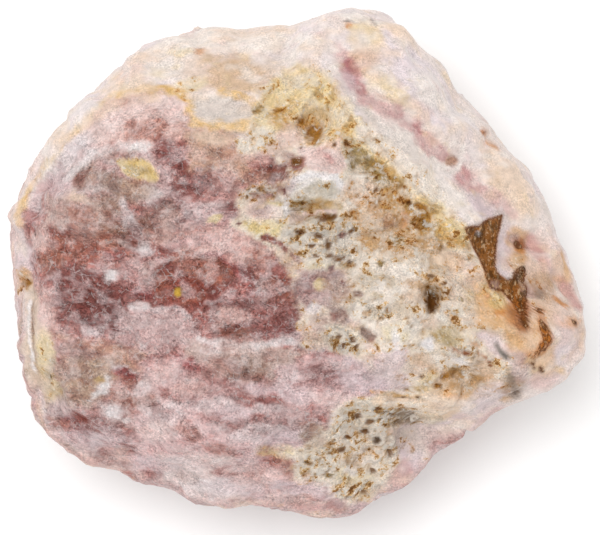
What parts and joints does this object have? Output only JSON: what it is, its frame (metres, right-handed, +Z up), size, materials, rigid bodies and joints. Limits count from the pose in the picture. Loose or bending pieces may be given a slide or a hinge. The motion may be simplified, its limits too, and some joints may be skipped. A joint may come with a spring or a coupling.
{
  "type": "raw pink calcite stone",
  "caption": "Palm-sized lump of raw pink calcite with a sugary broken face up, a smooth pale skin and a flat break that it rests on.",
  "frame": {"origin": "middle of the outline seen from above, on the surface that the stone rests on", "axes": "+Z up out of the pink broken face, +X to the blunt tip that holds the rust-filled pocket, +Y to the smooth pale skin"},
  "size_m": [0.066, 0.0587, 0.0322],
  "materials": {
    "calcite": "sugary translucent rose and white calcite with ochre porous waste, rust stains and a smooth pale skin"
  },
  "bodies": {
    "root": {"stone": "calcite"}
  },
  "joints": []
}
